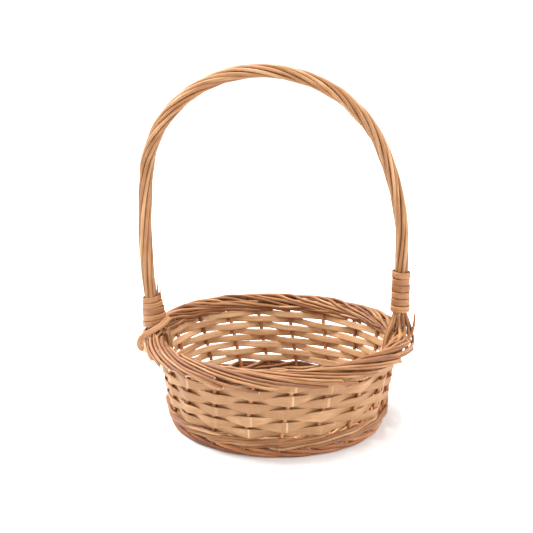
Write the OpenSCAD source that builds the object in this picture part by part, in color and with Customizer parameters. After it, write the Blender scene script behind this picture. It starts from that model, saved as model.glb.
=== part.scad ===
// Round market basket: willow base and stakes, chip-splint sides, rod border, fixed roped handle.
// Origin: middle of the foot, on the plane it stands on. +Z up. The handle stands in the XZ plane.

/* [Side wall] */
// Radius of the circle that the side stakes leave the base on
stake_ring_foot_r = 107; // [106:0.5:107.5]
// Radius of the circle that the side stakes reach at the border
stake_ring_top_r = 119.5; // [118.5:0.5:120]
// Angle that the stakes lean through between foot and border, anticlockwise seen from above
stake_lean_a = 7; // [0:0.5:8]
// Diameter of a side stake
stake_d = 4.2; // [3.4:0.1:4.2]
// Thickness of a chip splint
splint_t = 0.9; // [0.6:0.1:0.9]
// Height of one row of splint
splint_pitch = 7; // [6.6:0.1:7]
// Thickness of a wale rod
wale_rod_t = 3.2; // [2.6:0.1:3.2]

/* [Border] */
// Radius that the middle of a border rod ends at, at the border's lower outer edge
border_end_r = 137; // [134:0.5:137]
// Height of a border rod's middle where it crosses the top of the border
border_crest_z = 94; // [93.5:0.5:95]
// Diameter of a border rod
border_rod_d = 3.8; // [3:0.1:3.8]

/* [Handle] */
// Distance of the straight right leg from the middle of the basket
right_leg_x = 123; // [121:0.5:125]
// Height at which the right leg starts to bend
right_bend_z = 176; // [165:0.5:185]
// Diameter of the handle's core rod
core_d = 6; // [4:0.5:6]
// Diameter of a strand roped round the core
strand_d = 3.8; // [3:0.1:3.8]
// Length of one full turn of the roping
strand_lay = 190; // [160:5:260]

/* [Foot] */
// Diameter of a rod in the foot
foot_rod_d = 5; // [4:0.25:5]

/* [Hidden] */
SPLINT_ROWS = 8;
SPLINT_NODES = [for (row = [1:SPLINT_ROWS]) str("splint_row_", row)];

$fn = 48;
WILLOW = "#c98f57";
WILLOW_RED = "#b4753f";
CHIP = "#d8ac78";
RIBBON = "#c0824a";
gap = 0.15;          // air left between rods that press on each other

// side stakes
STAKES = 20;
stake_step = 360 / STAKES;
first_stake_a = -84;
stake_foot_z = 8.7;
stake_top_z = 86.3;
function ring_r(z) = stake_ring_foot_r
    + (stake_ring_top_r - stake_ring_foot_r) * (z - stake_foot_z) / (stake_top_z - stake_foot_z);
function stake_a(i, z) = first_stake_a + stake_step * i
    + stake_lean_a * ((z - stake_foot_z) / (stake_top_z - stake_foot_z) - 0.5);
function polar(r, a, z = 0) = [r * cos(a), r * sin(a), z];

// heights of the woven bands
lower_wale_z = 8.6;
LOWER_WALE_RODS = 4;
lower_wale_pitch = wale_rod_t + 0.25;
splint_z = 22.8;
upper_wale_z = splint_z + SPLINT_ROWS * splint_pitch + 0.3;
UPPER_WALE_RODS = 2;

// base: sticks cross in the middle, then open out to equal angles
STICKS_EACH_WAY = 4;
stick_d = 4.5;
stick_spacing = 6.2;
slath_half = 22;
stick_end_r = 100;
function stick_offset(i) = (i - (STICKS_EACH_WAY - 1) / 2) * stick_spacing;
stick_z = 11.6;
base_weaver_d = 4;
base_weaver_first_r = 28;
base_weaver_last_r = 98.4;
base_weaver_pitch = 3.9;
foot_inner_rod_r = 103;
foot_rod_step = 3.5;
foot_rod_z = 2.3;
foot_top_rod_rise = 3.6;

// border
BORDER_RODS = 2 * STAKES;
border_start = polar(120.5, 0, 89.2);
border_crest = polar(128, 12, border_crest_z);
border_end = polar(border_end_r, 44, 79.5);

// handle bow: radius and turn of each arc, from the right leg over the top to the left leg
BOW_ARCS = [[252, 23.5], [129.5, 81.5], [108, 69], [540, 13]];
bow_foot_z = 99.5;
STRANDS = 7;
strand_ring_r = core_d / 2 * 1.08 + strand_d / 2 + gap / 2;
STRAND_SIDES = 6;
strand_ring_step = 13;
roped_foot_z = 114;
binding_t = 1.2;

function bow_heading(i) = i == 0 ? 0 : bow_heading(i - 1) + BOW_ARCS[i - 1][1];
function bow_joint(i) = i == 0 ? [right_leg_x, 0, right_bend_z]
    : bow_joint(i - 1) + BOW_ARCS[i - 1][0] * [
        cos(bow_heading(i)) - cos(bow_heading(i - 1)),
        0,
        sin(bow_heading(i)) - sin(bow_heading(i - 1))];
function bow_arc_length(i) = BOW_ARCS[i][0] * BOW_ARCS[i][1] * PI / 180;
left_lean = bow_heading(len(BOW_ARCS)) - 180;
left_leg_top = bow_joint(len(BOW_ARCS));
function left_leg_at(z) = left_leg_top
    + [(left_leg_top[2] - z) * tan(left_lean), 0, z - left_leg_top[2]];
function right_leg_at(z) = [right_leg_x, 0, z];
left_leg_top_z = left_leg_top[2];

// Heading and place of the bow's middle line, s mm from where the right leg starts to bend.
// A negative s lies on the right leg and an s past the last arc lies on the left leg.
function bow_pose(s, i = 0) =
    s < 0 ? [0, bow_joint(0) + [0, 0, s]]
    : i == len(BOW_ARCS) ? [180 + left_lean, left_leg_top + s * [sin(left_lean), 0, -cos(left_lean)]]
    : s <= bow_arc_length(i) ? bow_arc_pose(i, s * 180 / PI / BOW_ARCS[i][0])
    : bow_pose(s - bow_arc_length(i), i + 1);
function bow_arc_pose(i, turn) =
    let (h0 = bow_heading(i), h = h0 + turn, r = BOW_ARCS[i][0])
    [h, bow_joint(i) + r * [cos(h) - cos(h0), 0, sin(h) - sin(h0)]];
BOW_LENGTH = bow_arc_length(0) + bow_arc_length(1) + bow_arc_length(2) + bow_arc_length(3);

// ---- shared shapes ----

// Straight rod between two points.
module rod(p, q, d) {
    v = q - p;
    length = norm(v);
    translate(p) rotate([0, acos(v[2] / length), atan2(v[1], v[0])]) cylinder(d = d, h = length);
}

// The slight swelling of a rod where it bends, which joins its straight stretches.
module knuckle(p, d) {
    translate(p) sphere(d = d * 1.08);
}

// Strip or rod that weaves round the ring of stakes, folded where it meets a stake.
// outside(i) is 1 where it passes outside stake i and -1 where it passes inside.
module woven_ring(z, h, t, pattern, shift) {
    flat_a = 1.3;
    side = [for (i = [0:STAKES - 1]) pattern[(i + shift) % len(pattern)]];
    // the side that leans towards the ring sets how far out each pass lies
    middle = [for (i = [0:STAKES - 1])
        side[i] > 0 ? ring_r(z + h) + stake_d / 2 + gap + t / 2
                    : ring_r(z) - stake_d / 2 - gap - t / 2];
    outline = [for (i = [0:STAKES - 1]) for (da = [-flat_a, flat_a]) [middle[i], stake_a(i, z + h / 2) + da]];
    translate([0, 0, z]) linear_extrude(h) difference() {
        polygon([for (p = outline) polar_2d(p[0] + t / 2, p[1])]);
        polygon([for (p = outline) polar_2d(p[0] - t / 2, p[1])]);
    }
}
function polar_2d(r, a) = [r * cos(a), r * sin(a)];

// Round rod along the circle through three points.
module rod_arc(a, m, b, d) {
    u = a - m;
    v = b - m;
    n = cross(u, v);
    middle = m + (cross(n, u) * (v * v) + cross(v, n) * (u * u)) / (2 * n * n);
    r = norm(a - middle);
    x_axis = (a - middle) / r;
    z_axis = -n / norm(n);
    y_axis = cross(z_axis, x_axis);
    to_b = b - middle;
    turn = (atan2(to_b * y_axis, to_b * x_axis) + 360) % 360;
    multmatrix([
        [x_axis[0], y_axis[0], z_axis[0], middle[0]],
        [x_axis[1], y_axis[1], z_axis[1], middle[1]],
        [x_axis[2], y_axis[2], z_axis[2], middle[2]],
        [0, 0, 0, 1]])
    rotate_extrude(angle = turn) translate([r, 0]) circle(d = d);
}

// ---- foot and base ----

// Two rods side by side and one on top, bound into one foot ring, worn flat underneath.
module foot_border() {
    color(WILLOW_RED) rotate_extrude() difference() {
        union() {
            translate([foot_inner_rod_r, foot_rod_z]) circle(d = foot_rod_d);
            translate([foot_inner_rod_r + foot_rod_step, foot_rod_z]) circle(d = foot_rod_d);
            translate([foot_inner_rod_r + foot_rod_step / 2, foot_rod_z + foot_top_rod_rise])
                circle(d = foot_rod_d);
        }
        translate([foot_inner_rod_r - 10, -10]) square([30, 10]);
    }
}

// The two open ends of a base stick: out of the middle, then bent to their own angle.
module stick_ends(i, from_x) {
    open_a = (i - (STICKS_EACH_WAY - 1) / 2) * 180 / (2 * STICKS_EACH_WAY);
    bend = [slath_half, stick_offset(i), stick_z];
    for (side = [0, 1]) mirror([side, 0, 0]) {
        rod([from_x, stick_offset(i), stick_z], bend + [stick_d / 4, 0, 0], stick_d);
        rod(bend, polar(stick_end_r, open_a, stick_z), stick_d * 0.98);
    }
}

module base_sticks_lengthwise() {
    color(WILLOW_RED) for (i = [0:STICKS_EACH_WAY - 1]) {
        stick_ends(i, -1);
    }
}

// The crosswise sticks are squared off and split in the middle, and the lengthwise ones pass through.
module base_sticks_crosswise() {
    square_w = stick_spacing - 2 * gap;
    half_run = slath_half - 8;
    slot = stick_d + 2 * gap;
    color(WILLOW_RED) rotate([0, 0, 90]) for (i = [0:STICKS_EACH_WAY - 1]) {
        difference() {
            translate([-half_run, stick_offset(i) - square_w / 2, stick_z - square_w / 2])
                cube([2 * half_run, square_w, square_w]);
            for (j = [0:STICKS_EACH_WAY - 1])
                translate([stick_offset(j) - slot / 2, stick_offset(i) - square_w, stick_z - slot / 2])
                    cube([slot, 2 * square_w, slot]);
        }
        stick_ends(i, half_run - 0.5);
    }
}

// One weaver wound in a flat coil against one face of the base sticks.
module base_weaver(z) {
    translate([0, 0, z]) rotate_extrude() union() {
        for (r = [base_weaver_first_r:base_weaver_pitch:base_weaver_last_r])
            translate([r, 0]) circle(d = base_weaver_d);
    }
}

module base_weavers_lower() {
    color(WILLOW) base_weaver(stick_z - stick_d / 2 - base_weaver_d / 2 - gap);
}

module base_weavers_upper() {
    color(WILLOW) base_weaver(stick_z + stick_d / 2 + base_weaver_d / 2 + gap);
}

// ---- side wall ----

module side_stakes() {
    color(WILLOW_RED) for (i = [0:STAKES - 1])
        rod(polar(ring_r(stake_foot_z), stake_a(i, stake_foot_z), stake_foot_z),
            polar(ring_r(stake_top_z), stake_a(i, stake_top_z), stake_top_z), stake_d);
}

OVER_ONE = [1, -1];
OVER_THREE = [1, 1, 1, -1];

module wale(z, rods, shift) {
    for (k = [0:rods - 1])
        woven_ring(z + k * lower_wale_pitch, wale_rod_t, wale_rod_t, OVER_THREE, k + shift);
}

module lower_wale() {
    color(WILLOW) wale(lower_wale_z, LOWER_WALE_RODS, 0);
}

module upper_wale() {
    color(WILLOW) wale(upper_wale_z, UPPER_WALE_RODS, 2);
}

module splint_row(row) {
    color(CHIP) woven_ring(splint_z + (row - 1) * splint_pitch, splint_pitch - 0.2, splint_t,
                           OVER_ONE, row);
}

// ---- border ----

// Every border rod starts inside the wall top, rises over the crest and ends low at the outer edge.
module border_rods(first) {
    step = 360 / BORDER_RODS;
    color(WILLOW) for (i = [first:2:BORDER_RODS - 1])
        rotate([0, 0, stake_a(0, stake_top_z) + i * step])
            rod_arc(border_start, border_crest, border_end, border_rod_d);
}

// ---- handle ----

module handle_core() {
    color(WILLOW_RED) {
        translate(right_leg_at(bow_foot_z)) cylinder(d = core_d, h = right_bend_z - bow_foot_z);
        for (i = [0:len(BOW_ARCS)]) knuckle(bow_joint(i), core_d);
        for (i = [0:len(BOW_ARCS) - 1])
            translate(bow_joint(i) - BOW_ARCS[i][0] * [cos(bow_heading(i)), 0, sin(bow_heading(i))])
                rotate([90, 0, 0]) rotate([0, 0, bow_heading(i)])
                    rotate_extrude(angle = BOW_ARCS[i][1], $fn = 200)
                        translate([BOW_ARCS[i][0], 0]) circle(d = core_d, $fn = 32);
        translate(left_leg_at(bow_foot_z)) rotate([0, -left_lean, 0])
            cylinder(d = core_d, h = (left_leg_top_z - bow_foot_z) / cos(left_lean));
    }
}

// One strand swept as a helix about the bow's middle line.
module strand(start_a) {
    s_first = roped_foot_z - right_bend_z;
    s_last = BOW_LENGTH + (left_leg_top_z - roped_foot_z) / cos(left_lean);
    rings = ceil((s_last - s_first) / strand_ring_step);
    points = [for (k = [0:rings])
        let (
            s = s_first + (s_last - s_first) * k / rings,
            pose = bow_pose(s),
            outward = [cos(pose[0]), 0, sin(pose[0])],
            across = [0, 1, 0],
            turn = start_a + 360 * s / strand_lay,
            middle = pose[1] + strand_ring_r * (cos(turn) * outward + sin(turn) * across))
        for (j = [0:STRAND_SIDES - 1])
            middle + strand_d / 2 * (cos(j * 360 / STRAND_SIDES) * outward
                                     + sin(j * 360 / STRAND_SIDES) * across)];
    sides = [for (k = [0:rings - 1]) for (j = [0:STRAND_SIDES - 1])
        let (a = k * STRAND_SIDES + j, b = k * STRAND_SIDES + (j + 1) % STRAND_SIDES)
        [a, a + STRAND_SIDES, b + STRAND_SIDES, b]];
    foot = [[for (j = [0:STRAND_SIDES - 1]) j]];
    head = [[for (j = [STRAND_SIDES - 1:-1:0]) rings * STRAND_SIDES + j]];
    polyhedron(points, concat(sides, foot, head));
}

module handle_strands() {
    color(WILLOW) for (i = [0:STRANDS - 1]) strand(i * 360 / STRANDS);
}

// Turns of flat split willow round a leg, each a little wider than the one above it.
module binding(turns, turn_h, bottom_r, top_r) {
    for (k = [0:turns - 1]) {
        r = bottom_r + (top_r - bottom_r) * k / (turns - 1);
        translate([0, 0, k * turn_h]) rotate_extrude()
            translate([r, 0]) square([binding_t, turn_h - 0.3]);
    }
}

binding_top_r = strand_ring_r + strand_d / 2 + gap;
RIGHT_TURNS = 6;
right_turn_h = 7.2;
LEFT_TURNS = 4;
left_turn_h = 6.4;
left_binding_z = 106;

module right_binding() {
    color(RIBBON) translate(right_leg_at(roped_foot_z))
        binding(RIGHT_TURNS, right_turn_h, binding_top_r + 1.6, binding_top_r);
}

module left_binding() {
    color(RIBBON) translate(left_leg_at(left_binding_z)) rotate([0, -left_lean, 0])
        binding(LEFT_TURNS, left_turn_h, binding_top_r + 3.2, binding_top_r + 0.4);
}

// Rod ends that leave the binding: three go down inside the wall, four spread over the border.
tail_d = 3.4;
tail_elbow_z = 90;
module handle_tails(top, inward) {
    wall_tail_r = ring_r(upper_wale_z) - stake_d / 2 - wale_rod_t - 2 * gap - tail_d / 2 - 0.2;
    for (side_y = [-6, 0, 6]) {
        elbow = [inward * -wall_tail_r, side_y, tail_elbow_z];
        rod(top + [inward * 4.6, side_y * 0.75, 0], elbow, tail_d);
        rod(elbow, elbow + [inward * 3.6, 0, -38], tail_d);
        knuckle(elbow, tail_d);
    }
    for (p = [[0.5, -6.4], [0.5, 6.4], [-5, -3.4], [-5, 3.4]]) {
        start = top + [inward * p[0], p[1] * 0.9, 0];
        rod(start, [start[0] - inward * 1.5, p[1] * 1.5, bow_foot_z + 1.4], tail_d);
    }
}

module right_handle_tails() {
    color(WILLOW) handle_tails(right_leg_at(roped_foot_z - 2.2), -1);
}

module left_handle_tails() {
    color(WILLOW) handle_tails(left_leg_at(left_binding_z - 2.2), 1);
}

// Flat ribbon that comes off the left binding and hooks over the outer edge of the border.
module left_border_lashing() {
    t = 0.8;
    width = 6;
    outer = [[-112, 101.2], [-128, 100.2], [-137, 93.5], [-139.9, 86], [-139.9, 76.7], [-133, 75.5]];
    inner = [[-133, 75.5 + t], [-139.9 + t, 76.7 + t], [-139.9 + t, 86], [-136.4, 93.1],
             [-127.8, 99.4], [-112, 101.2 - t]];
    color(RIBBON) translate([0, -12, 0]) rotate([90, 0, 0]) linear_extrude(width)
        polygon(concat(outer, inner));
}

// Two cut rod ends that stand above the left binding and one that stands on the right border.
module loose_rod_ends() {
    end_d = 2.4;
    above = left_leg_at(left_binding_z + LEFT_TURNS * left_turn_h + end_d / 2 + 0.2);
    color(WILLOW_RED) {
        rod(above + [8.4, -3, 0], above + [8.0, -3.5, 15], end_d);
        rod(above + [8.8, 1.5, 0], above + [8.9, 1.5, 11], end_d);
        rod([135.5, -4, 95], [137.2, -3, 111], end_d);
    }
}

foot_border();
base_sticks_lengthwise();
base_sticks_crosswise();
base_weavers_lower();
base_weavers_upper();
side_stakes();
lower_wale();
upper_wale();
for (row = [1:SPLINT_ROWS])
    splint_row(row);
border_rods(0);  // border_rods_first
border_rods(1);  // border_rods_second
handle_core();
handle_strands();
right_binding();
left_binding();
right_handle_tails();
left_handle_tails();
left_border_lashing();
loose_rod_ends();
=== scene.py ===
"""Round market basket: peeled willow rods, chip-splint sides, rod border and a roped hoop handle.

Every piece is a grid of points worked out from a path and a section, in metres, in the basket's
own frame: +Z up, origin in the middle of the foot, handle in the XZ plane.
"""
import math

import bpy
import numpy as np
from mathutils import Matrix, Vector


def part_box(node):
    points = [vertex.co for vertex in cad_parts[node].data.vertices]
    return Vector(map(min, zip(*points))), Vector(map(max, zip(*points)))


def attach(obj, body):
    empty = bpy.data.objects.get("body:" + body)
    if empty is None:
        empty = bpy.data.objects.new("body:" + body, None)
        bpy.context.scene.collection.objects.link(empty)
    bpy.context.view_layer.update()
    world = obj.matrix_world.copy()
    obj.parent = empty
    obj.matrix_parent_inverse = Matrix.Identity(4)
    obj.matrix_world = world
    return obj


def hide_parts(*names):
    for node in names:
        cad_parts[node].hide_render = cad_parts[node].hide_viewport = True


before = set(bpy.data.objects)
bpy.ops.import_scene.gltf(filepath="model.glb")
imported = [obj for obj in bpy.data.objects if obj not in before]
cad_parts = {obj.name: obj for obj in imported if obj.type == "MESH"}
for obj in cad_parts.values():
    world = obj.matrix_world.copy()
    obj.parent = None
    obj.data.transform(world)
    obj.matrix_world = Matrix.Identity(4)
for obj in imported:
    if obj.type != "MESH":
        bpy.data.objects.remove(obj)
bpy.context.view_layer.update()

MM = 0.001
rng = np.random.default_rng(11)

# ---------------------------------------------------------------- sizes, millimetres and degrees
STAKES = 20
STAKE_STEP = 360 / STAKES
FIRST_STAKE = -84.0                       # direction of the first stake, anticlockwise from +X
STAKE_D = 4.2
STAKE_LEAN = 7.0                          # turn of the stakes between foot and border
RING_FOOT_R = 107.0                       # circle of the stakes at the foot
RING_TOP_R = 119.5                        # and at the border
CHIP_T = 0.8
SPLINT_ROWS = 8
BORDER_ROD_D = 3.6
STRAND_D = 3.8
# hand work is never even: stakes stray from their places by this much, degrees, as a slow drift round
# the basket and a chance part; and the rows were beaten higher on two opposite sides, mm
DRIFT_SLOW = 1.5
DRIFT_CHANCE = 1.0
DRIFT_CREST = 0.4                         # where the slow drift is greatest, as a share of the way round
ROW_SWELL = 4.0
ROW_SWELL_START = 2.5                     # place of the first high side, counted in stakes
# the rows' swell fades in above the foot and partly out at the border: heights, and share of the swell
LIFT_Z = (12, 40, 66, 86)
LIFT_SHARE = (0, 1, 1, 0.35)
BORDER_LIFT = 0.8                         # how much of the swell is left in the border's rods


def stray(count):
    """Drift of each stake: slow part, one wave round the basket, plus a seeded chance part."""
    wave = np.cos(2 * np.pi * (np.arange(count) - DRIFT_CREST * count) / count)
    return DRIFT_SLOW * wave + np.random.default_rng(5).normal(0, DRIFT_CHANCE, count)


STAKE_DRIFT = stray(STAKES)
# rise of the rows at each stake: two cosine waves round the basket
ROW_RISE = ROW_SWELL * np.cos(4 * np.pi * (np.arange(STAKES) - ROW_SWELL_START) / STAKES)


def node_z(name):
    """Lowest and highest z of a CAD node, in millimetres."""
    low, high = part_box(name)
    return low[2] / MM, high[2] / MM


CAD_CORE_R = 3.0                          # the bow's middle line is this far under its CAD top
STAKE_FOOT_Z, STAKE_TOP_Z = node_z("side_stakes")
STICK_Z = sum(node_z("base_sticks_lengthwise")) / 2
BOW_TOP_Z = node_z("handle_core")[1] - CAD_CORE_R
LEG_FOOT_Z = node_z("handle_core")[0]


def ring_r(z):
    """Radius of the circle of stakes at height z: a straight line from the foot to the border."""
    return RING_FOOT_R + (RING_TOP_R - RING_FOOT_R) * (z - STAKE_FOOT_Z) / (STAKE_TOP_Z - STAKE_FOOT_Z)


WALL_LEAN = math.atan2(RING_TOP_R - RING_FOOT_R, STAKE_TOP_Z - STAKE_FOOT_Z)
STAKE_MID = FIRST_STAKE + STAKE_STEP * np.arange(STAKES) + STAKE_DRIFT


def stake_angles(z):
    """Direction of every stake at height z: they lean anticlockwise as they rise."""
    return STAKE_MID + STAKE_LEAN * ((z - STAKE_FOOT_Z) / (STAKE_TOP_Z - STAKE_FOOT_Z) - 0.5)


def lift(place, z):
    """How much higher than even the weave lies: each stake's rise times the share at height z.
    place counts stakes."""
    return at_place(ROW_RISE, place) * np.interp(z, LIFT_Z, LIFT_SHARE)


def at_place(values, place):
    """Values given for each stake, carried smoothly (cosine easing) to any place between them."""
    k = np.floor(place).astype(int) % STAKES
    t = (1 - np.cos(np.pi * (place - np.floor(place)))) / 2
    return values[k] * (1 - t) + values[(k + 1) % STAKES] * t


def polar(r, angle, z):
    """Points at radius r, direction angle in degrees and height z, as rows of x, y, z."""
    a = np.radians(angle)
    r, a, z = np.broadcast_arrays(r, a, z)
    return np.stack([r * np.cos(a), r * np.sin(a), z], axis=-1).astype(float)


# ---------------------------------------------------------------- curves
def through(points, step=2.5):
    """Smooth curve through the points: between two of them a cubic whose end slopes are half the
    step between the neighbours on each side, sampled about every step mm."""
    p = np.asarray(points, float)
    slope = np.empty_like(p)
    slope[1:-1] = (p[2:] - p[:-2]) / 2
    slope[0] = p[1] - p[0]
    slope[-1] = p[-1] - p[-2]
    spans = []
    for a, b, sa, sb in zip(p[:-1], p[1:], slope[:-1], slope[1:]):
        n = max(2, int(math.ceil(np.linalg.norm(b - a) / step)))
        t = (np.arange(n) / n)[:, None]
        spans.append((2 * t**3 - 3 * t**2 + 1) * a + (t**3 - 2 * t**2 + t) * sa
                     + (3 * t**2 - 2 * t**3) * b + (t**3 - t**2) * sb)
    return np.vstack(spans + [p[-1:]])


WOBBLE_WAVES = (1, 1.7, 2.9)              # how much faster each of the three waves runs
WOBBLE_LEVEL = 1.6                        # brings their sum back to about one
KINK_POINTS = 7                           # points to one wave of the kinks
ANY_TURN = 6.28                           # radians, for a random start anywhere on a circle


def wobble(n, waves, size):
    """Sum of three sine waves with random starts along n points, about plus or minus size."""
    t = np.linspace(0, 1, n)
    starts = rng.uniform(0, 2 * np.pi, 3)
    return size * sum(np.sin(2 * np.pi * waves * k * t + s) / k
                      for k, s in zip(WOBBLE_WAVES, starts)) / WOBBLE_LEVEL


def kinks(n, size):
    """Small sideways steps that a rod pressed over its neighbours shows: a quick wobble plus a chance
    part at every point."""
    return wobble(n, n / KINK_POINTS, size * 0.6) + rng.normal(0, size * 0.5, n)


def unit(v):
    """Rows scaled to length one."""
    return v / np.maximum(np.linalg.norm(v, axis=-1, keepdims=True), 1e-12)


# ---------------------------------------------------------------- sections
OVAL = 0.04                               # how far a rod is from round: two-sided part
THREE_SIDED = 0.025                       # and three-sided part
END_SHRINK = 0.86                         # size of a cut end against the rod just inside it
END_EASE = 0.35                           # length over which a cut end narrows, mm
ROD_UNEVEN = 0.035                        # how much a rod's thickness varies along it
ROD_POINTS = 22                           # points to one wave of that
GRAIN_START = 900                         # the grain map of a piece starts anywhere up to here, mm
CUT_MARK = -1000.0                        # u of the grain map on cut ends, mm, where no piece reaches


def round_section(sides):
    """Circle of radius one as (out, across) pairs, made faintly oval and three-sided so that no rod
    is perfect: radius = 1 + OVAL cos(2 angle) + THREE_SIDED cos(3 angle), each with a random start."""
    a = 2 * np.pi * np.arange(sides) / sides
    bend = 1 + OVAL * np.cos(2 * a + rng.uniform(0, ANY_TURN))
    bend = bend + THREE_SIDED * np.cos(3 * a + rng.uniform(0, ANY_TURN))
    return np.stack([np.cos(a) * bend, np.sin(a) * bend], axis=1)


# flat strip with eased edges as (out, across) pairs: half thickness and half width are one
STRIP_SECTION = np.array([(1, -.9), (1, -.45), (1, 0), (1, .45), (1, .9), (.45, 1), (-.45, 1),
                          (-1, .9), (-1, .45), (-1, 0), (-1, -.45), (-1, -.9), (-.45, -1), (.45, -1)])


class Bundle:
    """Rods and strips gathered into one mesh."""

    def __init__(self):
        self.verts, self.quads, self.tris = [], [], []
        self.quad_uv, self.tri_uv, self.tone, self.painted_highlight = [], [], [], []
        self.count = 0

    def sweep(self, path, half, section, out, closed=False, tone=None, painted_highlight=None, outside_shade_inside_light=0.0):
        """Carry a section along a path.

        Point = path + out half * section out + across half * section across, where the out
        direction is square to the path, as near as can be to the given one, and across is
        path direction x out direction. half is (out, across) in mm, for the whole path or by point.
        The face-shading argument paints shade and light: it makes the tone of the outer face darker and of
        the inner one paler by that much.
        """
        path = np.asarray(path, float)
        if not closed:
            path = ease_ends(path)
        n = len(path)
        half = np.broadcast_to(np.asarray(half, float), (n, 2)) if np.ndim(half) < 2 else resample(half, n)
        if closed:
            ahead = np.roll(path, -1, 0) - np.roll(path, 1, 0)
        else:
            ahead = np.gradient(path, axis=0)
        ahead = unit(ahead)
        out = np.broadcast_to(np.asarray(out, float), (n, 3)) if np.ndim(out) < 2 else resample(out, n)
        normal = unit(out - np.sum(out * ahead, 1, keepdims=True) * ahead)
        across = np.cross(ahead, normal)
        k = len(section)
        scale = np.ones((n, 1, 1))
        if not closed:
            scale[[0, -1]] = END_SHRINK
        reach = scale * half[:, None, :] * section[None, :, :]
        grid = path[:, None, :] + reach[..., :1] * normal[:, None, :] + reach[..., 1:] * across[:, None, :]
        rows = n if closed else n - 1
        i = np.arange(rows)[:, None]
        j = np.arange(k)[None, :]
        a = i * k + j
        b = i * k + (j + 1) % k
        c = ((i + 1) % n) * k + (j + 1) % k
        d = ((i + 1) % n) * k + j
        self.quads.append(np.stack([a, b, c, d], -1).reshape(-1, 4) + self.count)
        steps = np.linalg.norm(np.diff(path, axis=0), axis=1)
        along = np.concatenate([[0], np.cumsum(steps)])
        if closed:
            along = np.append(along, along[-1] + np.linalg.norm(path[0] - path[-1]))
        along = along + rng.uniform(0, GRAIN_START)
        ring = np.vstack([section, section[:1]]) * half.mean(0)
        around = np.concatenate([[0], np.cumsum(np.linalg.norm(np.diff(ring, axis=0), axis=1))])
        u0, u1 = along[:rows, None], along[1:rows + 1, None]
        v0, v1 = around[None, :k], around[None, 1:]
        zero = np.zeros((rows, k))
        uv = np.stack([np.stack([u0 + zero, v0 + zero], -1), np.stack([u0 + zero, v1 + zero], -1),
                       np.stack([u1 + zero, v1 + zero], -1), np.stack([u1 + zero, v0 + zero], -1)], 2)
        self.quad_uv.append(uv.reshape(-1, 4, 2))
        verts = grid.reshape(-1, 3)
        # painted shade on the outer face and painted light on the inner face, by shifting the tone
        tones = (rng.uniform(0, 1) if tone is None else tone) + outside_shade_inside_light * np.tile(section[:, 0], n)
        # painted highlight: how much each point is lightened towards the material's pale highlight colour,
        # kept as a point attribute
        painted_highlight_value = np.zeros(n) if painted_highlight is None else resample(np.asarray(painted_highlight, float)[:, None], n)[:, 0]
        painted_highlight_all = np.repeat(painted_highlight_value, k)
        if not closed:
            verts = np.vstack([verts, path[[0, -1]]])
            tones = np.append(tones, tones[[0, -1]])
            painted_highlight_all = np.append(painted_highlight_all, [0, 0])
            first, last = n * k, n * k + 1
            j = np.arange(k)
            start = np.stack([np.full(k, first), (j + 1) % k, j], 1)
            end = np.stack([np.full(k, last), (n - 1) * k + j, (n - 1) * k + (j + 1) % k], 1)
            self.tris.append(np.vstack([start, end]) + self.count)
            self.tri_uv.append(np.zeros((2 * k, 3, 2)) + [CUT_MARK, 0.0])
        self.verts.append(verts)
        self.tone.append(tones)
        self.painted_highlight.append(painted_highlight_all)
        self.count += len(verts)

    def rod(self, path, d, tone=None, out=(0, 0, 1), sides=10, taper=1.0, closed=False):
        """Round rod of diameter d mm along a path; it thins evenly to taper * d at its end."""
        n = len(path)
        uneven = 0 if closed else wobble(n, n / ROD_POINTS, ROD_UNEVEN)
        r = d / 2 * np.linspace(1, taper, n) * (1 + uneven)
        self.sweep(path, np.stack([r, r], 1), round_section(sides), out, closed, tone)

    def build(self, name, material, nodes):
        """Make the mesh object, give it its material, and let it stand for its CAD nodes."""
        verts = np.vstack(self.verts) * MM
        quads = np.vstack(self.quads)
        tris = np.vstack(self.tris) if self.tris else np.zeros((0, 3), int)
        mesh = bpy.data.meshes.new(name)
        mesh.vertices.add(len(verts))
        mesh.vertices.foreach_set("co", verts.ravel())
        corners = np.concatenate([quads.ravel(), tris.ravel()])
        mesh.loops.add(len(corners))
        mesh.loops.foreach_set("vertex_index", corners)
        mesh.polygons.add(len(quads) + len(tris))
        starts = np.concatenate([np.arange(len(quads)) * 4, len(quads) * 4 + np.arange(len(tris)) * 3])
        mesh.polygons.foreach_set("loop_start", starts)
        mesh.update(calc_edges=True)
        smooth = np.concatenate([np.ones(len(quads), bool), np.zeros(len(tris), bool)])
        mesh.polygons.foreach_set("use_smooth", smooth)
        uv = np.vstack(self.quad_uv).reshape(-1, 2)
        if self.tri_uv:
            uv = np.vstack([uv, np.vstack(self.tri_uv).reshape(-1, 2)])
        layer = mesh.uv_layers.new(name="grain")
        layer.data.foreach_set("uv", (uv * MM).ravel())
        # tone is each piece's own colour; the second attribute is painted highlight
        for label, values in (("tone", self.tone), ("painted_highlight", self.painted_highlight)):
            attribute = mesh.attributes.new(label, "FLOAT", "POINT")
            attribute.data.foreach_set("value", np.concatenate(values))
        mesh.materials.append(material)
        mesh.update()
        piece = bpy.data.objects.new(name, mesh)
        bpy.context.scene.collection.objects.link(piece)
        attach(piece, "root")
        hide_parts(*nodes)
        return piece


def resample(values, n):
    """Stretch rows of values to n rows, in straight lines between them."""
    values = np.asarray(values, float)
    if len(values) == n:
        return values
    at = np.linspace(0, len(values) - 1, n)
    return np.stack([np.interp(at, np.arange(len(values)), values[:, c]) for c in range(values.shape[1])], 1)


def ease_ends(path):
    """Add a point just inside each end, so that a cut end keeps its flat face and a crisp rim."""
    first = path[0] + unit(path[1] - path[0]) * END_EASE
    last = path[-1] - unit(path[-1] - path[-2]) * END_EASE
    return np.vstack([path[:1], first, path[1:-1], last, path[-1:]])


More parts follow.
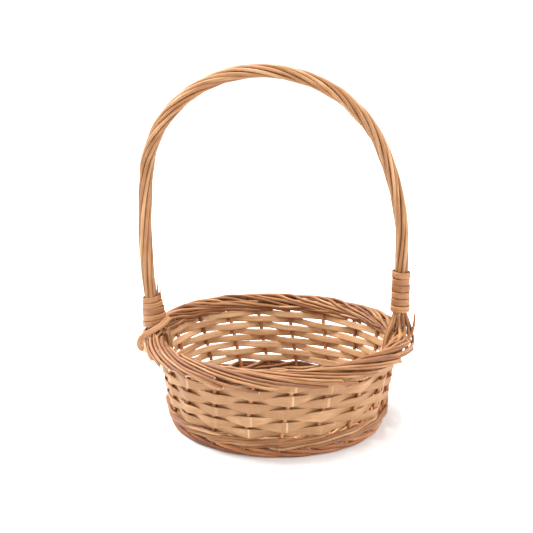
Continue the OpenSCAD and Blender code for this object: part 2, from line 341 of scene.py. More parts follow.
# ---------------------------------------------------------------- materials
def linear(hex_colour):
    """sRGB hex to linear RGBA: c/12.92 below 0.04045, else ((c + 0.055)/1.055) to the 2.4."""
    c = np.array([int(hex_colour[i:i + 2], 16) / 255 for i in (1, 3, 5)])
    c = np.where(c <= 0.04045, c / 12.92, ((c + 0.055) / 1.055) ** 2.4)
    return (*c, 1.0)


def node(tree, kind, links=None, values=None, **settings):
    """Add a node. settings are its properties; by name or number of an input, values gives what it
    is set to and links the (node, output) that feeds it."""
    made = tree.nodes.new(kind)
    for key, value in settings.items():
        setattr(made, key, value)
    for key, value in (values or {}).items():
        made.inputs[key].default_value = value
    for key, (source, output) in (links or {}).items():
        tree.links.new(source.outputs[output], made.inputs[key])
    return made


FACTOR, COLOUR_A, COLOUR_B, MIXED = 0, 6, 7, 2    # a colour mix's inputs and its output, by number
TONE_JUMP = 37.0                          # carries each tone to its own place in the noise
STREAK_LENGTH = 1000 / 22                 # mm along the rod: 22 streaks to a metre
PATCH_LENGTH = 1000 / 38                  # patches of deeper colour, mm along the rod
PATCH_WIDTH = 1000 / 120                  # and round it
PATCH_SPAN = (0.3, 0.7)                   # stretch of the noise that the patches use
PATCH_SHIFT = 0.28                        # how far a patch moves the rod's tone either way
STREAK_SPAN = (0.46, 0.74)                # noise where a streak begins and where it is full
STREAK_FULL = 0.9                         # share of the streak colour in a full streak
GLOSS_SHIFT = 0.1                         # roughness either way between patches
CUT_COLOUR = "#e8cfa6"                    # fresh wood of a sawn end


def wood(name, tones, streak_dark, painted_highlight_colour, roughness, streak_mm, bump_mm):
    """Split or peeled willow. tones: hex colours from the palest rod to the darkest, by each rod's
    own tone. Streaks follow the grain map: long in u, streak_mm wide in v, and the map counts
    metres, so a pattern's scale is 1000 / its size in mm."""
    material = bpy.data.materials.new(name)
    material.use_nodes = True
    tree = material.node_tree
    tree.nodes.clear()
    grain = node(tree, "ShaderNodeUVMap", uv_map="grain")
    tone = node(tree, "ShaderNodeAttribute", attribute_name="tone")
    painted_highlight = node(tree, "ShaderNodeAttribute", attribute_name="painted_highlight")
    shift = node(tree, "ShaderNodeMath", {0: (tone, "Fac")}, {1: TONE_JUMP}, operation="MULTIPLY")
    streak_map = node(tree, "ShaderNodeMapping", {"Vector": (grain, "UV")},
                      {"Scale": (1000 / STREAK_LENGTH, 1000 / streak_mm, 1)})
    streaks = node(tree, "ShaderNodeTexNoise", {"Vector": (streak_map, "Vector"), "W": (shift, 0)},
                   {"Scale": 1.0, "Detail": 3.0, "Roughness": 0.6}, noise_dimensions="4D")
    patch_map = node(tree, "ShaderNodeMapping", {"Vector": (grain, "UV")},
                     {"Scale": (1000 / PATCH_LENGTH, 1000 / PATCH_WIDTH, 1)})
    patches = node(tree, "ShaderNodeTexNoise", {"Vector": (patch_map, "Vector"), "W": (shift, 0)},
                   {"Scale": 1.0, "Detail": 2.0, "Roughness": 0.5}, noise_dimensions="4D")
    # tone of the rod, moved by patches along it
    patch_part = node(tree, "ShaderNodeMapRange", {"Value": (patches, "Fac")},
                      {"From Min": PATCH_SPAN[0], "From Max": PATCH_SPAN[1],
                       "To Min": -PATCH_SHIFT, "To Max": PATCH_SHIFT})
    where = node(tree, "ShaderNodeMath", {0: (tone, "Fac"), 1: (patch_part, "Result")}, operation="ADD")
    base = node(tree, "ShaderNodeValToRGB", {"Fac": (where, 0)})
    stops = base.color_ramp.elements
    for _ in tones[2:]:
        stops.new(0.5)
    for i, colour in enumerate(tones):
        stops[i].position = i / (len(tones) - 1)
        stops[i].color = linear(colour)
    streak_part = node(tree, "ShaderNodeMapRange", {"Value": (streaks, "Fac")},
                       {"From Min": STREAK_SPAN[0], "From Max": STREAK_SPAN[1], "To Max": STREAK_FULL})
    streaked = node(tree, "ShaderNodeMix", {FACTOR: (streak_part, "Result"), COLOUR_A: (base, "Color")},
                    {COLOUR_B: linear(streak_dark)}, data_type="RGBA")
    # painted highlight: colour lifted towards the pale highlight colour where the highlight attribute is set,
    # for light caught on chip folds
    highlighted = node(tree, "ShaderNodeMix", {FACTOR: (painted_highlight, "Fac"), COLOUR_A: (streaked, MIXED)},
                   {COLOUR_B: linear(painted_highlight_colour)}, data_type="RGBA")
    # cut ends carry a grain map far to the left, which marks the pale sawn face
    place = node(tree, "ShaderNodeSeparateXYZ", {"Vector": (grain, "UV")})
    is_cut = node(tree, "ShaderNodeMath", {0: (place, "X")}, {1: CUT_MARK * MM / 2}, operation="LESS_THAN")
    coloured = node(tree, "ShaderNodeMix", {FACTOR: (is_cut, 0), COLOUR_A: (highlighted, MIXED)},
                    {COLOUR_B: linear(CUT_COLOUR)}, data_type="RGBA")
    gloss = node(tree, "ShaderNodeMapRange", {"Value": (patches, "Fac")},
                 {"To Min": roughness - GLOSS_SHIFT, "To Max": roughness + GLOSS_SHIFT})
    bump = node(tree, "ShaderNodeBump", {"Height": (streaks, "Fac")},
                {"Strength": 0.55, "Distance": bump_mm * MM})
    shader = node(tree, "ShaderNodeBsdfPrincipled",
                  {"Base Color": (coloured, MIXED), "Roughness": (gloss, "Result"),
                   "Normal": (bump, "Normal")},
                  {"IOR": 1.5, "Specular IOR Level": 0.45})
    node(tree, "ShaderNodeOutputMaterial", {"Surface": (shader, "BSDF")})
    return material


# in each material below, the first single colour is its dark grain streaks and the second is its painted
# highlight
# Peeled willow, boiled buff and dried: honey to tan rods with long fibres and a dull natural gloss
PEELED_WILLOW = wood("peeled willow rod, buffed", ["#bb9066", "#a17248", "#895930", "#6f401e"],
                     "#5e3318", "#c3a173", 0.5, 0.7, 0.14)
# Willow rods of the second grade, redder, used for stakes and foot
RED_WILLOW = wood("peeled willow rod, red", ["#bc7e50", "#a5683c", "#8c532c", "#74401e"],
                  "#572b15", "#c89468", 0.52, 0.7, 0.14)
# Chip splint: thin board-sawn wood split along the grain, pale and flat, matt with straight fibres
CHIP_SPLINT = wood("chip splint, planed", ["#d4af87", "#bf976c", "#a87f58", "#986f49"],
                   "#8d5f39", "#e0c7a7", 0.6, 0.55, 0.1)
# Split willow skein: the skin side of a split rod, shaved flat, redder and a little glossy
SPLIT_RIBBON = wood("split willow skein, shaved", ["#b88b5d", "#a97a4e", "#99673f", "#875632"],
                    "#734624", "#c8a67c", 0.46, 0.5, 0.1)


# ---------------------------------------------------------------- wall
def front_share(angle):
    """0 at the back of the basket, 1 at the front, where the rows are packed closer:
    (1 - sin angle) / 2."""
    return (1 - np.sin(np.radians(angle))) / 2


STAKE_GAP = 0.08                          # air between a weaver and the stake it passes, mm


def folded_ring(sides, z, half_t, flat, step=1.4, round_off=2):
    """Closed run of a weaver at height z: flat over each stake by +-flat degrees, outside it where
    sides is 1 and inside where it is -1, and straight from stake to stake. The folds are eased by
    averaging neighbours. Gives x and y, and the place of each point counted in stakes."""
    middle = ring_r(z) + sides * (STAKE_D / 2 + half_t + STAKE_GAP)
    angles = stake_angles(z)
    corner = polar(np.repeat(middle, 2), np.stack([angles - flat, angles + flat], 1).ravel(), 0)[:, :2]
    stake = np.arange(STAKES)
    place = np.stack([stake - flat / STAKE_STEP, stake + flat / STAKE_STEP], 1).ravel()
    closed = np.vstack([corner, corner[:1]])
    place = np.append(place, STAKES - flat / STAKE_STEP)
    along = np.concatenate([[0], np.cumsum(np.linalg.norm(np.diff(closed, axis=0), axis=1))])
    n = int(along[-1] / step)
    at = np.arange(n) * along[-1] / n
    xy = np.stack([np.interp(at, along, closed[:, c]) for c in (0, 1)], 1)
    place = np.interp(at, along, place)
    for _ in range(round_off):
        xy = (np.roll(xy, 1, 0) + 2 * xy + np.roll(xy, -1, 0)) / 4
    return xy, place


CHIP_FLAT = 1.25                          # a chip lies flat this many degrees either side of a stake
ROW_SPACE = 0.2                           # space between a CAD row and the next, mm
CHIP_HAIR = 0.12                          # a chip at mid span is this much short of half the pitch
CHIP_HALF_BACK = 3.42                     # half width over a stake at the back of the basket
CHIP_HALF_MORE = 2.35                     # and what the front, packed closer, adds
HIGHLIGHT_PLACE = 0.085                      # from the stake to the painted highlight on the chip's fold, in stakes
HIGHLIGHT_WIDTH = 0.02
HIGHLIGHT_STRENGTHS = (0, 0.2, 0.5)
PACKING_CURVE = 1.3                       # how late the packing sets in towards the front
FRONT_FULLNESS = 0.3                      # front chips narrow less between stakes: less power by this
ROW_STRAY = 0.35                          # chance part of a row's height at each stake, mm
WIDTH_STRAY = 0.28                        # and of its half width
EDGE_KINKS = 0.1


def splint_row(row):
    """One row of chip: over one stake and under the next, opposite to the row below.

    Half width = narrow + (widest - narrow) * (0 at mid span, 1 at a stake) to the power 1 at the back
    and less at the front; narrow is half the row pitch less a hair, and the neighbours lie on a
    stake's other side, which leaves room for the widest."""
    low, high = node_z(f"splint_row_{row}")
    pitch = high - low + ROW_SPACE
    level = (low + high) / 2
    side = np.where((np.arange(STAKES) + row) % 2 == 0, 1.0, -1.0)
    xy, place = folded_ring(side, level, CHIP_T / 2, CHIP_FLAT)
    angle = np.degrees(np.arctan2(xy[:, 1], xy[:, 0]))
    share = front_share(angle) ** PACKING_CURVE
    near_stake = np.abs(2 * (place - np.floor(place)) - 1) ** (1 - FRONT_FULLNESS * share)
    middle = level + lift(place, level) + at_place(rng.normal(0, ROW_STRAY, STAKES), place)
    widest = CHIP_HALF_BACK + CHIP_HALF_MORE * share
    widest = widest + at_place(rng.normal(0, WIDTH_STRAY, STAKES), place)
    narrow = pitch / 2 - CHIP_HAIR
    half_width = narrow + (widest - narrow) * near_stake + kinks(len(place), EDGE_KINKS)
    xy = xy * ((ring_r(middle) / ring_r(level))[:, None])
    path = np.column_stack([xy, middle])
    half = np.stack([np.full(len(path), CHIP_T / 2), half_width], 1)
    lean = np.column_stack([xy / np.hypot(*xy.T)[:, None] * math.cos(WALL_LEAN),
                            np.full(len(path), -math.sin(WALL_LEAN))])
    # painted highlight beside a stake that the chip passes outside, on the fold there
    highlight_strength = np.zeros(len(path))
    for k in range(STAKES):
        if side[k] > 0:
            spot = k + HIGHLIGHT_PLACE
            apart = (place - spot + STAKES / 2) % STAKES - STAKES / 2
            highlight_strength += rng.choice(HIGHLIGHT_STRENGTHS) * np.exp(-(apart / HIGHLIGHT_WIDTH) ** 2)
    strip = Bundle()
    # the chip's outer face darker as painted shade and its inner face paler as painted light
    strip.sweep(path, half, STRIP_SECTION, lean, closed=True, tone=rng.uniform(0.2, 0.8),
                painted_highlight=np.clip(highlight_strength, 0, 1), outside_shade_inside_light=0.3)
    strip.build(f"splint_row_{row}", CHIP_SPLINT, [f"splint_row_{row}"])


STAKE_BELOW = 2.5                         # the stakes start this far under their CAD foot
STAKE_SWAY = 0.12                         # how far a stake strays from its line, degrees


def side_stakes():
    """Stakes: rods from the foot up through points on the wall's own radius, leaning with it."""
    stakes = Bundle()
    z = np.array([STAKE_FOOT_Z - STAKE_BELOW, STAKE_FOOT_Z + 12, 40, 62, STAKE_TOP_Z])
    angles = np.stack([stake_angles(height) for height in z], 1)
    for row in angles:
        sway = row + rng.normal(0, STAKE_SWAY, len(z))
        stakes.rod(through(polar(ring_r(z), sway, z), 5), STAKE_D * rng.uniform(0.9, 1.02),
                   out=polar(1, row[2], 0), tone=rng.uniform(0.0, 0.8))
    stakes.build("side_stakes", RED_WILLOW, ["side_stakes"])


WALE_FLAT = 0.8                           # a wale rod bends round a stake over this, degrees each side
WALE_STEP = 2.2                           # mm from one point of a wale rod to the next
WALE_ROUNDING = 3                         # times its bends are eased
WALE_STRAY_Z = 0.25                       # chance part of its height at each stake, mm
WALE_STRAY_R = 0.3                        # and of its radius
WALE_TUCK = 0.6                           # it lies closer in on the first stake it passes outside
LOWER_WALE_OVER = 0.6                     # how far the lower wale reaches past the first row's lower edge
UPPER_WALE_UNDER = 1.0                    # the upper wale goes this far below its CAD solid
UPPER_WALE_OVER = 1.5                     # and this far above it


def wale(name, strands, z_low, z_high, d, shift=0):
    """Wale: each strand passes outside (strands - 1) stakes and inside one, and climbs as it goes.

    Height over a stroke = z_low + d/2 rising evenly by (z_high - z_low - d), so that the strands
    on the outside lie in slanting layers."""
    rods = Bundle()
    level = (z_low + z_high) / 2
    for j in range(strands):
        phase = (np.arange(STAKES) - j + shift) % strands
        side = np.where(phase == 0, -1.0, 1.0)
        rise = np.where(phase == 0, 0.5, (phase - 0.5) / (strands - 1))
        height = z_low + d / 2 + (z_high - z_low - d) * rise + rng.normal(0, WALE_STRAY_Z, STAKES)
        xy, place = folded_ring(side, level, d / 2, WALE_FLAT, WALE_STEP, WALE_ROUNDING)
        z = at_place(height, place)
        z = z + lift(place, z)
        push = at_place(rng.normal(0, WALE_STRAY_R, STAKES) - WALE_TUCK * (phase == 1), place)
        xy = xy * ((ring_r(z) + push) / ring_r(level))[:, None]
        rods.rod(np.column_stack([xy, z]), d * rng.uniform(0.9, 1.06), closed=True,
                 tone=rng.uniform(0.05, 0.95), sides=9)
    rods.build(name, PEELED_WILLOW, [name])


# ---------------------------------------------------------------- foot and base
# a foot rod from the stake it starts at: turn, radius and height of its points, and how it strays
FOOT_TURN = np.array([0, 1.6, 3.6, 7, 13, 22, 31, 39, 45])
FOOT_R = np.array([103.5, 106.4, 107.9, 108.0, 107.4, 106.7, 106.0, 104.4, 102.6])
FOOT_Z = np.array([11.2, 10.6, 9.2, 8.0, 6.3, 3.7, 2.7, 2.7, 2.9])
FOOT_STRAY_TURN = 0.3
FOOT_STRAY_R = 0.2
FOOT_CLEAR = 1.07                         # lowest height of a foot rod's middle, in its own radii
INNER_ROD_R = 103.0
INNER_ROD_Z = 2.75
INNER_ROD_D = 5.0


def foot_border():
    """Foot: one rod for each stake bends out of the wall, runs along the outside and dips under,
    and one ring of rod lies inside them."""
    rods = Bundle()
    count = len(FOOT_TURN)
    for angle in stake_angles(STAKE_FOOT_Z):
        t = FOOT_TURN + rng.normal(0, FOOT_STRAY_TURN, count)
        r = FOOT_R + rng.normal(0, FOOT_STRAY_R, count)
        d = rng.uniform(4.5, 5.0)
        z = np.maximum(FOOT_Z, d / 2 * FOOT_CLEAR)
        rods.rod(through(polar(r, angle + t, z)), d, tone=rng.uniform(0, 0.8), taper=0.9)
    inner = polar(INNER_ROD_R, np.linspace(0, 360, 240, endpoint=False), INNER_ROD_Z)
    rods.rod(inner, INNER_ROD_D, closed=True, tone=0.4)
    rods.build("foot_border", RED_WILLOW, ["foot_border"])


STICKS = 4
SLATH_HALF = 22.0
STICK_SPACING = 6.2
STICK_D = 4.6
PAIRING_D = 3.3                           # rods woven round the base sticks
PAIRING_PITCH = 5.1                       # from one ring of them to the next
PAIRING_SWING = 1.5                       # how far a ring swings in and out
PAIRING_LIFT = 3.9                        # and up and down
INNER_RINGS_R = 40                        # rings smaller than this need only half the points


def base_sticks(turned, name):
    """Four sticks side by side in the middle, then opened out to equal angles at both ends."""
    rods = Bundle()
    for i in range(STICKS):
        shift = (i - (STICKS - 1) / 2) * STICK_SPACING
        open_a = (i - (STICKS - 1) / 2) * 180 / (2 * STICKS)
        right = [polar(rr, open_a, STICK_Z) for rr in (45.0, 70.0, 100.0)]
        middle = np.array([[x, shift, STICK_Z] for x in (-SLATH_HALF, 0, SLATH_HALF)])
        left = [p * (-1, 1, 1) for p in right[::-1]]
        path = through(np.vstack([left, middle, right]), 4)
        if turned:
            path = path[:, [1, 0, 2]] * (-1, 1, 1)
        rods.rod(path, STICK_D, tone=rng.uniform(0, 0.7))
    rods.build(name, RED_WILLOW, [name])


def base_weavers(name, start):
    """Pairing: rings of rod that pass over and under the spread sticks and twist with their twins.

    z = stick level + lift cos(8 angle + start), radius = ring - swing sin(8 angle + start)."""
    rods = Bundle()
    angle = np.linspace(0, 360, 200, endpoint=False)
    wave = 8 * np.radians(angle) + start
    for r in np.arange(5 * PAIRING_PITCH, 100, PAIRING_PITCH):
        every = 1 if r > INNER_RINGS_R else 2
        turn = wave[::every]
        path = polar(r - PAIRING_SWING * np.sin(turn), angle[::every], STICK_Z + PAIRING_LIFT * np.cos(turn))
        rods.rod(path, PAIRING_D, closed=True, tone=rng.uniform(0, 0.9), sides=8)
    rods.build(name, PEELED_WILLOW, [name])


# ---------------------------------------------------------------- border
# radius and height of a border rod against the angle it has run since it left the weave: along the
# inside of the wall top, over the crest in a short bend, then slowly down the outside
BORDER_TURN = np.array([0, 12, 24, 36, 44, 48.5, 53, 59, 69, 80, 92, 104, 116])
BORDER_R = np.array([117.4, 116.6, 116.2, 116.4, 117.4, 119.4, 122.2, 124.8, 128.0, 131.4, 134.4, 136.2,
                     135.6])
BORDER_Z = np.array([78.2, 81.0, 84.2, 87.6, 90.8, 92.8, 93.6, 93.2, 91.6, 89.0, 85.6, 81.6, 77.4])
# rods laid along the rim in long runs under the others: radius, height, diameter
FILLERS = [(120.2, 87.4, 3.4), (123.8, 88.6, 3.4), (121.4, 83.0, 3.2), (127.4, 85.6, 3.4),
           (130.6, 81.6, 3.4), (126.2, 81.4, 3.2)]
BORDER_KINK_R = 0.85                      # kinks of a border rod in radius, mm
BORDER_KINK_Z = 1.0                       # and in height
START_STRAY = 1.1                         # how far a border rod starts from its place, degrees
FILLER_PARTS = 5                          # rods end to end round one such run
FILLER_KINK = 0.8
FILLER_CLIMB = 1.2                        # such a rod starts this much low and ends this much high
FILLER_POINTS = 16
TIP_POINTS = 3                            # last points of a border rod, which lie calm
TIP_CALM = 0.15                           # share of the kinks left there


def border_lift(angle, z):
    """Swell of the border at a direction and height: a share of the rows' swell at the same place."""
    place = (angle - STAKE_MID[0] - STAKE_LEAN / 2) / STAKE_STEP
    return lift(place % STAKES, z) * BORDER_LIFT


def border_rod(bundle, start, end_turn, d, tone):
    """Rod that runs along the inside of the wall top, crosses the crest and slips down the outside to
    end_turn: radius and height are read off the border's line, plus kinks that calm down at its tip."""
    turn = np.append(BORDER_TURN[BORDER_TURN < end_turn - 5], end_turn)
    n = len(turn)
    calm = np.where(np.arange(n) < n - TIP_POINTS, 1, TIP_CALM)
    r = np.interp(turn, BORDER_TURN, BORDER_R) + kinks(n, BORDER_KINK_R) * calm
    z = np.interp(turn, BORDER_TURN, BORDER_Z) + kinks(n, BORDER_KINK_Z) * calm
    z = z + border_lift(start + turn, z)
    bundle.rod(through(polar(r, start + turn, z)), d, tone=tone, taper=rng.uniform(0.8, 0.95))


def border_rods(name, lag, ends, order):
    """Rods, one for each stake, that start the angle lag from it and end at one of ends. Long runs of
    rod lie inside the bundle under them: order 0 or 1 takes every second one."""
    rods = Bundle()
    for angle in stake_angles(STAKE_TOP_Z):
        border_rod(rods, angle + lag + rng.normal(0, START_STRAY), rng.choice(ends) + rng.uniform(-5, 4),
                   BORDER_ROD_D * rng.uniform(0.8, 1.1), rng.uniform(0.3, 1))
    for r, z, d in FILLERS[order::2]:
        for part in range(FILLER_PARTS):
            start = rng.uniform(0, 20) + part * 360 / FILLER_PARTS
            turn = np.linspace(0, rng.uniform(66, 78), FILLER_POINTS)
            climb = np.linspace(-FILLER_CLIMB, FILLER_CLIMB, FILLER_POINTS)
            height = z + kinks(FILLER_POINTS, FILLER_KINK) + climb
            height = height + border_lift(start + turn, height)
            path = through(polar(r + kinks(FILLER_POINTS, FILLER_KINK), start + turn, height))
            rods.rod(path, d * rng.uniform(0.9, 1.1), tone=rng.uniform(0, 1), sides=9, taper=0.85)
    rods.build(name, PEELED_WILLOW, [name])


# ---------------------------------------------------------------- handle
RIGHT_LEG_X = 123.0
BOW_ARCS = [(252, 23.5), (129.5, 81.5), (108, 69), (540, 13)]   # radius and turn, right to left
LEG_BELOW = 2                             # the legs run this far on under the foot of the CAD core
BOW_STEP = 4.0                            # mm from one point of the bow to the next
CORE_D = 5.6


def bow_line(step):
    """Middle line of the bow as heading (degrees from +Z towards -X) and place, with its lengths.

    Each arc adds radius * (cos, sin of the new heading - cos, sin of the old one)."""
    rise = 0.0
    heading = 0.0
    for radius, turn in BOW_ARCS:
        last = min(heading + turn, 90)
        rise += radius * (math.sin(math.radians(last)) - math.sin(math.radians(min(heading, 90))))
        heading += turn
    place = np.array([RIGHT_LEG_X, BOW_TOP_Z - rise])
    z = np.arange(LEG_FOOT_Z - LEG_BELOW, place[1], step)
    heads = [np.zeros(len(z))]
    spots = [np.column_stack([np.full(len(z), RIGHT_LEG_X), z])]
    heading = 0.0
    for radius, turn in BOW_ARCS:
        n = int(math.radians(turn) * radius / step)
        h = heading + turn * np.arange(n) / n
        a = np.radians(h)
        a0 = math.radians(heading)
        spots.append(place + radius * np.column_stack([np.cos(a) - math.cos(a0), np.sin(a) - math.sin(a0)]))
        heads.append(h)
        a1 = math.radians(heading + turn)
        place = place + radius * np.array([math.cos(a1) - math.cos(a0), math.sin(a1) - math.sin(a0)])
        heading += turn
    down = np.arange(0, (place[1] - LEG_FOOT_Z + LEG_BELOW) / math.cos(math.radians(heading - 180)), step)
    a = math.radians(heading)
    spots.append(place + down[:, None] * np.array([-math.sin(a), math.cos(a)]))
    heads.append(np.full(len(down), heading))
    spot = np.vstack(spots)
    head = np.concatenate(heads)
    return head, np.column_stack([spot[:, 0], np.zeros(len(spot)), spot[:, 1]])


BOW_HEAD, BOW_SPOT = bow_line(BOW_STEP)
BOW_ALONG = np.concatenate([[0], np.cumsum(np.linalg.norm(np.diff(BOW_SPOT, axis=0), axis=1))])
BOW_OUT = np.column_stack([np.cos(np.radians(BOW_HEAD)), np.zeros(len(BOW_HEAD)),
                           np.sin(np.radians(BOW_HEAD))])
STRANDS = 8
STRAND_LAY = 178.0                        # mm along the bow for one full turn of the strands
STRAND_RING = 4.95                        # from the bow's middle line to a strand's
STRAND_START = 25                         # direction of the first strand at the right leg, degrees


def leg_at(z, right):
    """Middle of a leg at height z."""
    half = len(BOW_SPOT) // 2
    leg = BOW_SPOT[:half] if right else BOW_SPOT[:half:-1]
    return np.array([np.interp(z, leg[:, 2], leg[:, 0]), 0.0, z])


def handle():
    """Core rod, and eight strands: spot + ring radius * (cos turn * out + sin turn * across)."""
    core = Bundle()
    core.rod(BOW_SPOT, CORE_D, out=BOW_OUT, tone=0.6)
    core.build("handle_core", RED_WILLOW, ["handle_core"])
    strands = Bundle()
    total = BOW_ALONG[-1]
    # the lay is slack near the legs and tight over the top
    twist = np.interp(BOW_ALONG, [0, 90, 170, total - 190, total - 110, total], [0.25, 0.45, 1, 1, 0.45, 0.3])
    turned = np.concatenate([[0], np.cumsum((twist[1:] + twist[:-1]) / 2 * np.diff(BOW_ALONG))])
    n = len(BOW_SPOT)
    for i in range(STRANDS):
        d = STRAND_D * rng.uniform(0.84, 1.12)
        turn = np.radians(i * 360 / STRANDS + 360 * turned / STRAND_LAY + wobble(n, 3, 7) + STRAND_START)
        ring = STRAND_RING + wobble(n, 5, 0.4)
        path = BOW_SPOT + ring[:, None] * (np.cos(turn)[:, None] * BOW_OUT
                                           + np.sin(turn)[:, None] * np.array([0, 1, 0]))
        strands.rod(path, d, out=BOW_OUT, tone=rng.uniform(0, 0.6), sides=11)
    strands.build("handle_strands", PEELED_WILLOW, ["handle_strands"])


RIBBON_HALF_T = 0.55                      # half thickness of the skein round the legs
# height and radius of each turn of skein
RIGHT_TURNS = [(117.5, 9.6), (124.6, 9.0), (131.8, 8.9), (138.8, 8.7), (145.7, 8.6), (152.4, 8.6)]
LEFT_TURNS = [(101.5, 12.0), (107.6, 11.2), (113.8, 10.4), (119.8, 9.6), (125.8, 9.0)]


def ribbon_turn(bundle, centre, radius, tilt, width, tone, squash=(1.0, 1.0)):
    """One closed turn of flat ribbon round a leg:
    centre + (squashed radius * cos turn, squashed radius * sin turn, tilt * cos turn)."""
    a = np.linspace(0, 2 * np.pi, 48, endpoint=False)
    r = radius * (1 + 0.03 * np.cos(4 * a + rng.uniform(0, 6)))
    path = centre + np.column_stack([r * squash[0] * np.cos(a), r * squash[1] * np.sin(a),
                                     tilt * np.cos(a)])
    out = np.column_stack([np.cos(a), np.sin(a), np.zeros(len(a))])
    bundle.sweep(path, (RIBBON_HALF_T, width / 2), STRIP_SECTION, out, closed=True, tone=tone)


def bindings():
    """Turns of skein round each leg, wider towards the border."""
    right = Bundle()
    for z, radius in RIGHT_TURNS:
        ribbon_turn(right, leg_at(z, True), radius, rng.uniform(-0.5, 0.3), rng.uniform(6.2, 6.9),
                    rng.uniform(0.2, 0.9))
    right.build("right_binding", SPLIT_RIBBON, ["right_binding"])
    left = Bundle()
    for z, radius in LEFT_TURNS:
        ribbon_turn(left, leg_at(z, False) + [0.6, 0, 0], radius, rng.uniform(1.4, 2.2),
                    rng.uniform(5.6, 6.4), rng.uniform(0.2, 0.9), (1.0, 0.85))
    left.build("left_binding", SPLIT_RIBBON, ["left_binding"])


ROUTE_STEP = 1.5                          # mm from one point to the next on a short listed route
TAIL_FOOT_Z = 60                          # where the tails inside the wall end
# each spread tail: how far out from the leg it starts, its y, then the radius and height it runs to
RIGHT_TAILS = [(-1.5, -7, 122.5, 95), (3.0, -6, 127.5, 94), (6.5, -4, 132, 91), (7.5, 2, 136, 87)]
LEFT_TAILS = [(2, -9, 124, 94), (6, -5, 129, 92), (8, 1, 133, 89), (7, 8, 136.5, 84)]
# skein round the border: points of its middle line, half its thickness and width, and the point
# in the border that its flat side faces away from
LASHING_ROUTE = [(-108.5, -11.5, 110.0), (-115.0, -15.5, 103.5), (-124.0, -20.0, 98.5),
                 (-132.5, -22.0, 94.0), (-138.2, -21.5, 87.5), (-137.5, -20.0, 79.5), (-131.0, -18.0, 77.0)]
LASHING_HALF = (0.5, 3.0)
LASHING_CENTRE = (-121.0, 8.0, 82.0)
# loose rod ends: points, diameter, share of it left at the tip, tone; the left ones count from the
# left leg at this height
LEFT_LOOSE_Z = 128.0
LEFT_LOOSE_ENDS = [([(7.2, -4.5, -6), (7.4, -4.8, 6), (6.9, -5.0, 15)], 2.8, 0.35, 0.7),
                   ([(9.0, -2.5, -6), (9.4, -2.8, 4), (9.6, -3.0, 10.5)], 2.8, 0.35, 0.5)]
RIGHT_LOOSE_END = ([(134.5, -6, 90), (136.6, -5, 98), (137.6, -4, 106), (137.2, -3.5, 112)], 3.4, 0.5, 0.3)


def tails(name, top, side, spread):
    """Rod ends below a binding: three slip inside the wall, the others part over the border, each
    ending in a short arc of 10 degrees at about radius r, from 4 mm above the height low to 1 mm
    below it."""
    rods = Bundle()
    for y in (-5, 0.5, 6):
        rods.rod(through([top + [-side * 4, y * 0.7, 3], top + [-side * 6.5, y, -9],
                          [side * 112.5, y * 1.2, 92], [side * 109.8, y * 1.2, 80],
                          [side * 107.4, y * 1.2, TAIL_FOOT_Z]]), 3.6, tone=rng.uniform(0, 1),
                 out=(side, 0, 0))
    for dx, y, r, low in spread:
        angle = math.degrees(math.atan2(y, r))
        run = polar([r, r + 0.6, r + 0.4], [angle, angle - 4, angle - 10], [low + 4, low, low - 1])
        run[:, 0] *= side
        start = [top + [side * dx * 0.5, y * 0.45, 4], top + [side * dx, y * 0.8, -6]]
        rods.rod(through([*start, *run], ROUTE_STEP), 3.5, tone=rng.uniform(0, 1), out=(side, 0, 0),
                 taper=0.8)
    rods.build(name, PEELED_WILLOW, [name])


def lashing_and_loose_ends():
    """Flat skein from the left binding round the edge of the border, and the stray rod ends."""
    skein = Bundle()
    path = through(LASHING_ROUTE, ROUTE_STEP)
    out = unit(path - np.array(LASHING_CENTRE))
    skein.sweep(path, LASHING_HALF, STRIP_SECTION, out, tone=0.45)
    skein.build("left_border_lashing", SPLIT_RIBBON, ["left_border_lashing"])
    ends = Bundle()
    top = leg_at(LEFT_LOOSE_Z, False)
    left = [(top + np.array(points), *rest) for points, *rest in LEFT_LOOSE_ENDS]
    for points, d, tip, tone in [*left, RIGHT_LOOSE_END]:
        ends.rod(through(points, ROUTE_STEP), d, taper=tip, tone=tone, out=(1, 0, 0))
    ends.build("loose_rod_ends", RED_WILLOW, ["loose_rod_ends"])


# ---------------------------------------------------------------- stage
CAMERA_TARGET = np.array([-0.01173, 0, 0.15951])       # metres
CAMERA_DISTANCE = 1.3
CAMERA_ELEVATION = 15.437                 # degrees above level
CAMERA_ROLL = 0.32                        # degrees
LENS = 87.88                              # focal length and sensor width, mm
SENSOR = 36
FLOOR_HALF = 6.0                          # half the floor's edge, metres
FLOOR_COLOUR = "#f0f0f0"
FLOOR_ROUGHNESS = 0.9
ROOM_LIGHT = 1.15
# softboxes: place and the point they face, metres, then edge in metres and power in watts
LAMPS = [("right softbox", (1.8, -0.5, 0.9), (0, 0, 0.12), 0.9, 18),
         ("left softbox", (-1.1, 0.5, 1.3), (0, 0, 0.12), 0.9, 44),
         ("overhead softbox", (0.0, -0.1, 1.7), (0, 0, 0.1), 0.8, 34)]


def camera():
    """Camera in front and a little above:
    target + distance * (0, -cos elevation, sin elevation), looking back along that line."""
    elevation = math.radians(CAMERA_ELEVATION)
    data = bpy.data.cameras.new("camera")
    data.lens = LENS
    data.sensor_width = SENSOR
    eye = bpy.data.objects.new("camera", data)
    back = np.array([0, -math.cos(elevation), math.sin(elevation)])
    eye.location = CAMERA_TARGET + CAMERA_DISTANCE * back
    eye.rotation_mode = "ZYX"
    eye.rotation_euler = (math.pi / 2 - elevation, 0, math.radians(CAMERA_ROLL))
    bpy.context.scene.collection.objects.link(eye)
    bpy.context.scene.camera = eye


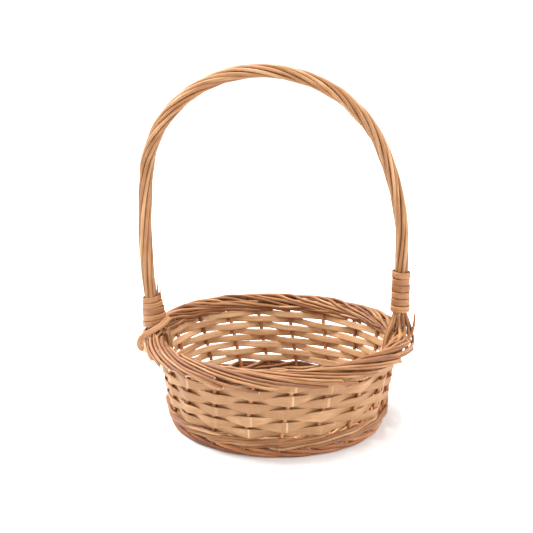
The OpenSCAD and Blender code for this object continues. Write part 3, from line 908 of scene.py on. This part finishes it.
def softbox(name, place, aim, size, power):
    """Square area light at place, turned to face aim: tilt from straight down by the angle whose
    cosine is how far the way to aim points down, then turn to the direction of aim."""
    data = bpy.data.lights.new(name, "AREA")
    data.energy = power
    data.size = size
    lamp = bpy.data.objects.new(name, data)
    lamp.location = place
    forward = np.array(aim, float) - np.array(place, float)
    length = np.linalg.norm(forward)
    lamp.rotation_euler = (math.acos(-forward[2] / length), 0,
                           math.atan2(forward[1], forward[0]) - math.pi / 2)
    bpy.context.scene.collection.objects.link(lamp)


def stage():
    """Near-white paper floor, an even white room, and a softbox at each side and one overhead."""
    mesh = bpy.data.meshes.new("floor")
    s = FLOOR_HALF
    mesh.from_pydata([(-s, -s, 0), (s, -s, 0), (s, s, 0), (-s, s, 0)], [], [(0, 1, 2, 3)])
    floor = bpy.data.objects.new("floor", mesh)
    paper = bpy.data.materials.new("white paper, matt")
    paper.use_nodes = True
    shader = paper.node_tree.nodes["Principled BSDF"]
    shader.inputs["Base Color"].default_value = linear(FLOOR_COLOUR)
    shader.inputs["Roughness"].default_value = FLOOR_ROUGHNESS
    mesh.materials.append(paper)
    bpy.context.scene.collection.objects.link(floor)
    world = bpy.data.worlds.new("room")
    world.use_nodes = True
    sky = world.node_tree.nodes["Background"]
    sky.inputs["Color"].default_value = (1, 1, 1, 1)
    sky.inputs["Strength"].default_value = ROOM_LIGHT
    bpy.context.scene.world = world
    for name, place, aim, size, power in LAMPS:
        softbox(name, place, aim, size, power)
    bpy.context.scene.view_settings.view_transform = "Standard"


camera()
stage()
foot_border()
base_sticks(turned=False, name="base_sticks_lengthwise")
base_sticks(turned=True, name="base_sticks_crosswise")
base_weavers("base_weavers_lower", start=0.0)
base_weavers("base_weavers_upper", start=math.pi)
side_stakes()
wale("lower_wale", strands=5, z_low=STAKE_FOOT_Z, z_high=node_z("splint_row_1")[0] + LOWER_WALE_OVER,
     d=3.4)
wale("upper_wale", strands=4, z_low=node_z("upper_wale")[0] - UPPER_WALE_UNDER,
     z_high=node_z("upper_wale")[1] + UPPER_WALE_OVER, d=3.1, shift=2)
for row_number in range(1, SPLINT_ROWS + 1):
    splint_row(row_number)
border_rods("border_rods_first", lag=-26.0, ends=(102, 109, 115), order=0)
border_rods("border_rods_second", lag=-17.0, ends=(92, 104, 113), order=1)
handle()
bindings()
tails("right_handle_tails", leg_at(112.5, right=True), 1, RIGHT_TAILS)
tails("left_handle_tails", leg_at(99.5, right=False), -1, LEFT_TAILS)
lashing_and_loose_ends()
